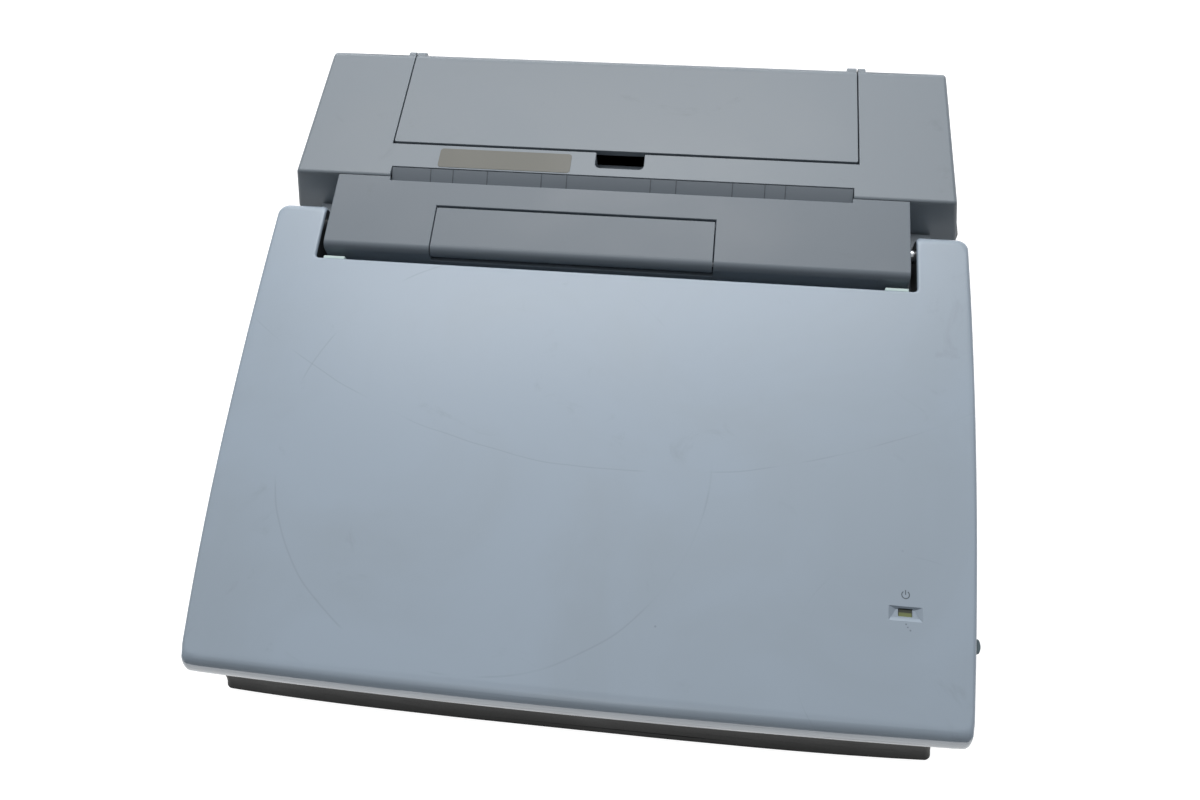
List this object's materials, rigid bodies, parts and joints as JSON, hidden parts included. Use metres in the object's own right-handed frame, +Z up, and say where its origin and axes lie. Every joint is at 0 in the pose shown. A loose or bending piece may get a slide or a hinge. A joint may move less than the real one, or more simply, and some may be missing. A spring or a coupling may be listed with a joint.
{
  "type": "electronic word processor",
  "caption": "Portable word processor with a printer in its rear block, a hinged display lid over the keyboard, a hinge bar with a paper flap, and a printer cover.",
  "frame": {"origin": "on the surface it stands on, under the middle of the machine's bounding box", "axes": "+X to the user's right along the width, +Y to the rear where the printer is, +Z up"},
  "size_m": [0.3974, 0.392, 0.0892],
  "materials": {
    "lid_plastic": "satin moulded plastic, pale blue-grey, lightly scuffed",
    "housing_plastic": "fine-textured moulded plastic, blue-grey",
    "bar_plastic": "fine-textured moulded plastic, darker blue-grey",
    "case_plastic": "coarse-textured moulded plastic, near black",
    "key_plastic": "matt moulded plastic, warm light grey",
    "dark_plastic": "matt moulded plastic, charcoal",
    "label_film": "printed film, taupe, satin",
    "lamp_lens": "translucent lamp lens, yellow-green",
    "lcd_glass": "display panel with a smooth glass front",
    "steel": "plated steel",
    "black_rubber": "black rubber",
    "pad_rubber": "pale soft rubber",
    "circuit_board": "green circuit board",
    "gear_plastic": "natural white acetal"
  },
  "bodies": {
    "base": {"bottom_case": "case_plastic", "keyboard_deck": "housing_plastic", "printer_housing": "housing_plastic", "hinge_bar": "bar_plastic", "paper_chute": "bar_plastic", "notice_label": "label_film", "cover_hinge_pin_left": "steel", "cover_hinge_pin_right": "steel", "flap_hinge_pin": "steel", "rubber_foot_front_left": "black_rubber", "rubber_foot_front_right": "black_rubber", "rubber_foot_rear_left": "black_rubber", "rubber_foot_rear_right": "black_rubber", "case_screw_front_left": "steel", "case_screw_front_right": "steel", "case_screw_rear_left": "steel", "case_screw_rear_right": "steel", "printer_frame_left": "steel", "printer_frame_right": "steel", "feed_motor": "steel", "paper_guide": "dark_plastic", "carriage_rod": "steel", "carriage_belt": "black_rubber", "carriage_motor": "steel", "main_board": "circuit_board", "power_supply": "circuit_board", "power_inlet": "dark_plastic", "floppy_drive": "dark_plastic", "hinge_clutch_left": "dark_plastic", "hinge_clutch_right": "dark_plastic", "keyboard_plate": "steel"},
    "lid": {"lid_outer_shell": "lid_plastic", "lid_inner_bezel": "housing_plastic", "lcd_panel": "lcd_glass", "lcd_circuit_board": "circuit_board", "lid_hinge_left": "steel", "lid_hinge_right": "steel", "lid_stop_pad_left": "pad_rubber", "lid_stop_pad_right": "pad_rubber", "power_lamp": "lamp_lens"},
    "cover": {"printer_cover": "housing_plastic"},
    "flap": {"paper_flap": "bar_plastic"},
    "contrast_knob": {"contrast_slider": "dark_plastic"},
    "switch_knob": {"power_switch_knob": "dark_plastic"},
    "eject": {"eject_button": "key_plastic"},
    "keys_function": {"key_row_function": "key_plastic"},
    "keys_number": {"key_row_number": "key_plastic"},
    "keys_upper": {"key_row_upper": "key_plastic"},
    "keys_home": {"key_row_home": "key_plastic"},
    "keys_lower": {"key_row_lower": "key_plastic"},
    "keys_space": {"key_row_space": "key_plastic"},
    "roller": {"feed_roller": "black_rubber", "feed_gear": "gear_plastic"},
    "pinion": {"motor_pinion": "gear_plastic"},
    "pinch": {"pinch_roller": "black_rubber"},
    "carriage": {"print_carriage": "dark_plastic", "ink_cartridge": "key_plastic"},
    "pulley_drive": {"drive_pulley": "gear_plastic"},
    "pulley_idler": {"idler_pulley": "gear_plastic"}
  },
  "joints": [
    {"name": "lid_hinge", "type": "hinge", "parent": "base", "child": "lid", "pos_m": [0, 0.06305, 0.07475], "axis": [-1, 0, 0], "range_deg": [0, 115]},
    {"name": "cover_hinge", "type": "hinge", "parent": "base", "child": "cover", "pos_m": [0, 0.18835, 0.084], "axis": [-1, 0, 0], "range_deg": [0, 100]},
    {"name": "flap_hinge", "type": "hinge", "parent": "base", "child": "flap", "pos_m": [0, 0.04625, 0.08025], "axis": [1, 0, 0], "range_deg": [0, 80]},
    {"name": "contrast_slide", "type": "slide", "parent": "lid", "child": "contrast_knob", "axis": [0, 0.9944, 0.1057], "range_m": [-0.005, 0.005]},
    {"name": "power_switch_slide", "type": "slide", "parent": "base", "child": "switch_knob", "axis": [0, 1, 0], "range_m": [0, 0.005]},
    {"name": "eject_press", "type": "slide", "parent": "base", "child": "eject", "axis": [-1, 0, 0], "range_m": [0, 0.002], "stiffness_N_per_m": 400, "springref_m": -0.001},
    {"name": "key_press_function", "type": "slide", "parent": "base", "child": "keys_function", "axis": [0, 0.1057, -0.9944], "range_m": [0, 0.003], "stiffness_N_per_m": 400, "springref_m": -0.002},
    {"name": "key_press_number", "type": "slide", "parent": "base", "child": "keys_number", "axis": [0, 0.1057, -0.9944], "range_m": [0, 0.003], "stiffness_N_per_m": 400, "springref_m": -0.002},
    {"name": "key_press_upper", "type": "slide", "parent": "base", "child": "keys_upper", "axis": [0, 0.1057, -0.9944], "range_m": [0, 0.003], "stiffness_N_per_m": 400, "springref_m": -0.002},
    {"name": "key_press_home", "type": "slide", "parent": "base", "child": "keys_home", "axis": [0, 0.1057, -0.9944], "range_m": [0, 0.003], "stiffness_N_per_m": 400, "springref_m": -0.002},
    {"name": "key_press_lower", "type": "slide", "parent": "base", "child": "keys_lower", "axis": [0, 0.1057, -0.9944], "range_m": [0, 0.003], "stiffness_N_per_m": 400, "springref_m": -0.002},
    {"name": "key_press_space", "type": "slide", "parent": "base", "child": "keys_space", "axis": [0, 0.1057, -0.9944], "range_m": [0, 0.003], "stiffness_N_per_m": 400, "springref_m": -0.002},
    {"name": "feed_roller_spin", "type": "hinge", "parent": "base", "child": "roller", "pos_m": [0, 0.06705, 0.055], "axis": [1, 0, 0], "continuous": true},
    {"name": "motor_pinion_spin", "type": "hinge", "parent": "base", "child": "pinion", "pos_m": [0, 0.08979, 0.04672], "axis": [1, 0, 0], "continuous": true},
    {"name": "pinch_roller_spin", "type": "hinge", "parent": "base", "child": "pinch", "pos_m": [0, 0.04775, 0.055], "axis": [1, 0, 0], "continuous": true},
    {"name": "carriage_slide", "type": "slide", "parent": "base", "child": "carriage", "axis": [1, 0, 0], "range_m": [-0.112, 0.112]},
    {"name": "drive_pulley_spin", "type": "hinge", "parent": "base", "child": "pulley_drive", "pos_m": [-0.128, 0.17805, 0.052], "axis": [0, 0, 1], "range_deg": [-950, 950]},
    {"name": "idler_pulley_spin", "type": "hinge", "parent": "base", "child": "pulley_idler", "pos_m": [0.128, 0.17805, 0.052], "axis": [0, 0, 1], "range_deg": [-950, 950]}
  ],
  "couplings": [
    {"joint": "motor_pinion_spin", "follows": "feed_roller_spin", "ratio": -3},
    {"joint": "pinch_roller_spin", "follows": "feed_roller_spin", "ratio": -2.8},
    {"joint": "drive_pulley_spin", "follows": "carriage_slide", "rad_per_m": 147.06},
    {"joint": "idler_pulley_spin", "follows": "carriage_slide", "rad_per_m": 147.06}
  ]
}
